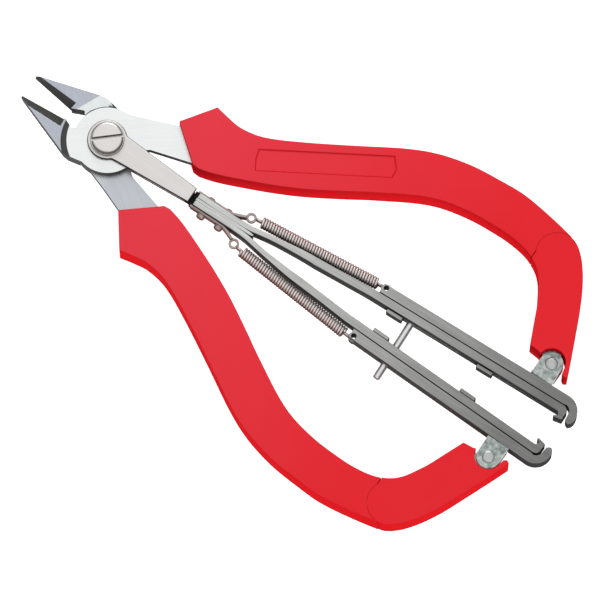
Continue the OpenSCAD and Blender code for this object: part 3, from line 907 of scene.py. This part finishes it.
@dataclass
class ReturnSpring:
    """One close-coiled extension spring with a loop at each end."""

    bench: Bench
    side: Side
    start: Point = (39.5, 4.1)
    stop: Point = (72.6, 7.15)
    end_gap: float = 1.25
    coil_radius: float = 1.12
    wire_radius: float = 0.33
    turns: int = 46
    turn_steps: int = 18
    loop_radius: float = 0.8
    loop_angle: float = 330.0

    def build(self) -> None:
        """Winds the coil and bends the loops."""
        a, b = Vector(self.start), Vector(self.stop)
        span = (b - a).length
        body = span - 2 * self.end_gap
        parts = [self._coil(body), self._loop(self.end_gap - self.loop_radius + 0.1, 1.0),
                 self._loop(span - self.end_gap + self.loop_radius - 0.1, -1.0)]
        lay = (Matrix.Translation((a.x, a.y, MID))
               @ Matrix.Rotation(math.atan2(b.y - a.y, b.x - a.x), 4, "Z"))
        spring = self.bench.place(self.bench.join(parts), lay)
        if self.side is Side.LOWER:
            spring = self.bench.turn_over(spring)
        obj = self.bench.piece(self.side.part("spring_coiled"), spring, self.bench.palette.wire, Slot.SPRING,
                               None, (self.side.part("return_spring"),), 60)
        self.side.part("arm")
        self.side.part("slider")
        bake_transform(obj)

    @staticmethod
    def _section(wire: float, radius: float) -> bmesh.types.BMesh:
        """The wire's round section, capped, at a radius from the origin."""
        bm = bmesh.new()
        bmesh.ops.create_circle(bm, segments=8, radius=wire, cap_ends=True)
        bmesh.ops.translate(bm, vec=(radius, 0, 0), verts=bm.verts)
        return bm

    def _coil(self, length: float) -> bmesh.types.BMesh:
        """The coil along +X from the end gap, closed at both ends."""
        bm = self._section(self.wire_radius, self.coil_radius)
        bmesh.ops.rotate(bm, cent=(self.coil_radius, 0, 0), matrix=Matrix.Rotation(math.pi / 2, 3, "X"),
                         verts=bm.verts)
        steps = self.turns * self.turn_steps
        ring = bm.verts[:] + bm.edges[:] + bm.faces[:]
        bmesh.ops.spin(bm, geom=ring, cent=(0, 0, 0), axis=(0, 0, 1), dvec=(0, 0, length / steps),
                       angle=math.tau * self.turns, steps=steps, use_merge=False)
        bmesh.ops.recalc_face_normals(bm, faces=bm.faces)
        self.bench.place(bm, Matrix.Translation((self.end_gap, 0, 0)) @ Matrix.Rotation(math.pi / 2, 4, "Y"))
        return bm

    def _loop(self, centre: float, facing: float) -> bmesh.types.BMesh:
        """A round hook loop in the upright plane, open towards the coil.

        Args:
            centre: the loop's centre along the spring.
            facing: 1 when the coil lies beyond it, -1 when it lies before it.

        Returns:
            The loop.
        """
        bm = self._section(self.wire_radius * 0.95, self.loop_radius)
        ring = bm.verts[:] + bm.edges[:] + bm.faces[:]
        bmesh.ops.spin(bm, geom=ring, cent=(0, 0, 0), axis=(0, 1, 0), steps=26,
                       angle=math.radians(self.loop_angle), use_merge=False)
        bmesh.ops.recalc_face_normals(bm, faces=bm.faces)
        if facing < 0:
            bmesh.ops.rotate(bm, cent=(0, 0, 0), matrix=Matrix.Rotation(math.pi, 3, "Z"), verts=bm.verts)
        bmesh.ops.translate(bm, vec=(centre, 0, 0), verts=bm.verts)
        return bm


@dataclass
class Slider:
    """One outer arm: the hooked bar, its guide tabs, and the plated bracket with its pin."""

    bench: Bench
    side: Side

    def build(self) -> None:
        """Eases the bar, the tabs, the guide pin and the bracket, and makes the domed bracket pin."""
        colours, body, part = self.bench.palette, self.side.part("slider"), self.side.part
        self.bench.eased(part("slider_bar"), colours.arm, Slot.ARM, body, 0.14)
        self.bench.eased(part("guide_tabs"), colours.arm, Slot.ARM, body, 0.12, 2)
        self.bench.eased(part("clevis_bracket"), colours.zinc, Slot.BRACKET, body, 0.22, 4)
        self._pin(body)
        if self.side is Side.UPPER:
            self.bench.eased("guide_pin", colours.pin, Slot.SCREW, body, 0.15)

    def _pin(self, body: str) -> None:
        """Makes the bracket pin with a low domed head on each ear."""
        top = BAR_HIGH
        dome = [(1.5, top), (1.46, top + 0.1), (1.25, top + 0.22), (0.9, top + 0.3), (0.5, top + 0.34),
                (0, top + 0.35)]
        under = [(r, 2 * MID - z) for r, z in reversed(dome)]
        profile = under + [(0.9, BAR_LOW), (0.9, BAR_HIGH)] + dome
        pin = self.bench.lathe(profile, 32)
        x, y = CLEVIS
        self.bench.place(pin, Matrix.Translation((x, y * self.side.sign, 0)))
        self.bench.piece(self.side.part("bracket_pin_domed"), pin, self.bench.palette.link, Slot.BRACKET,
                         body, (self.side.part("bracket_pin"),))


# ---------------------------------------------------------------- studio


@dataclass
class Studio:
    """Pale floor, soft lights and the camera."""

    azimuth: float = 33.8
    elevation: float = 78.0
    distance: float = 2.2
    frame_width: float = 0.1402
    offset: tuple[float, float] = (0.04508, 0.03808)
    anchor: tuple[float, float, float] = (0.0, 0.0, 0.01035)
    middle: tuple[float, float, float] = (0.06, 0.0, 0.0)
    floor_gap: float = 0.0002
    sensor: float = 36.0
    horizon: Colour = (0.24, 0.24, 0.25)
    zenith: Colour = (1.0, 1.0, 1.0)

    def build(self) -> None:
        """Sets up the floor, the lights, the surroundings and the camera."""
        self._floor()
        self._surroundings()
        self._lights()
        self._camera()

    def _axes(self) -> tuple[Vector, Vector, Vector]:
        """The camera's right, down and back directions."""
        a, e = math.radians(self.azimuth), math.radians(self.elevation)
        back = Vector((math.sin(a) * math.cos(e), -math.cos(a) * math.cos(e), math.sin(e)))
        right = Vector((math.cos(a), math.sin(a), 0))
        return right, right.cross(back), back

    def _floor(self) -> None:
        """Lays a large pale floor just under the tool."""
        bm = bmesh.new()
        bmesh.ops.create_grid(bm, x_segments=1, y_segments=1, size=3.0)
        bmesh.ops.translate(bm, vec=(self.middle[0], 0, -self.floor_gap), verts=bm.verts)
        mesh = bpy.data.meshes.new("floor")
        bm.to_mesh(mesh)
        bm.free()
        mesh.materials.append(PaleFloor().build())
        floor = bpy.data.objects.new("floor", mesh)
        bpy.context.scene.collection.objects.link(floor)

    def _surroundings(self) -> None:
        """Fills the room with even white light that falls off towards the horizon."""
        world = bpy.data.worlds.new("studio")
        world.use_nodes = True
        world.node_tree.nodes.clear()
        wiring = Wiring(world.node_tree)
        rise = wiring.node("SeparateXYZ", {0: wiring.node("TexCoord").outputs["Generated"]}).outputs["Z"]
        light = wiring.mix(wiring.spread(rise, 0, 1, 0.4, 0.93), self.horizon, self.zenith)
        sky = wiring.node("Background", {"Color": light, "Strength": 0.95})
        out = wiring.node("OutputWorld")
        wiring.tree.links.new(sky.outputs[0], out.inputs["Surface"])
        bpy.context.scene.world = world

    def _lights(self) -> None:
        """Hangs soft boxes over the tool."""
        for name, place, size, watts in (
            ("key_box", (-0.45, 0.85, 0.6), 0.6, 4.2),
            ("fill_box", (0.8, -0.5, 0.6), 0.8, 2.2),
        ):
            lamp = bpy.data.lights.new(name, "AREA")
            lamp.energy, lamp.size = watts, size
            obj = bpy.data.objects.new(name, lamp)
            obj.location = place
            aim = Vector(self.middle) - Vector(place)
            obj.rotation_euler = aim.to_track_quat("-Z", "Y").to_euler()
            bpy.context.scene.collection.objects.link(obj)

    def _camera(self) -> None:
        """Sets the long-lens camera."""
        right, down, back = self._axes()
        target = Vector(self.anchor) + right * self.offset[0] + down * self.offset[1]
        lens = bpy.data.cameras.new("camera")
        lens.sensor_width = self.sensor
        lens.lens = self.sensor * self.distance / self.frame_width
        lens.clip_start, lens.clip_end = 0.1, 20
        camera = bpy.data.objects.new("camera", lens)
        turn = Matrix((right, -down, back)).transposed().to_4x4()
        camera.matrix_world = Matrix.Translation(target + back * self.distance) @ turn
        bpy.context.scene.collection.objects.link(camera)
        bpy.context.scene.camera = camera


def main() -> None:
    """Builds every sub-assembly and the studio."""
    logging.basicConfig(level=logging.INFO, format="%(message)s")
    bench = Bench(Palette())
    CutterHead(bench).build()
    Yoke(bench).build()
    for side in Side:
        for assembly in (Handle, Link, GripperArm, ReturnSpring, Slider):
            assembly(bench, side).build()
    Studio().build()
    scene = bpy.context.scene
    scene.view_settings.view_transform = "Standard"


if __name__ == "__main__":
    main()
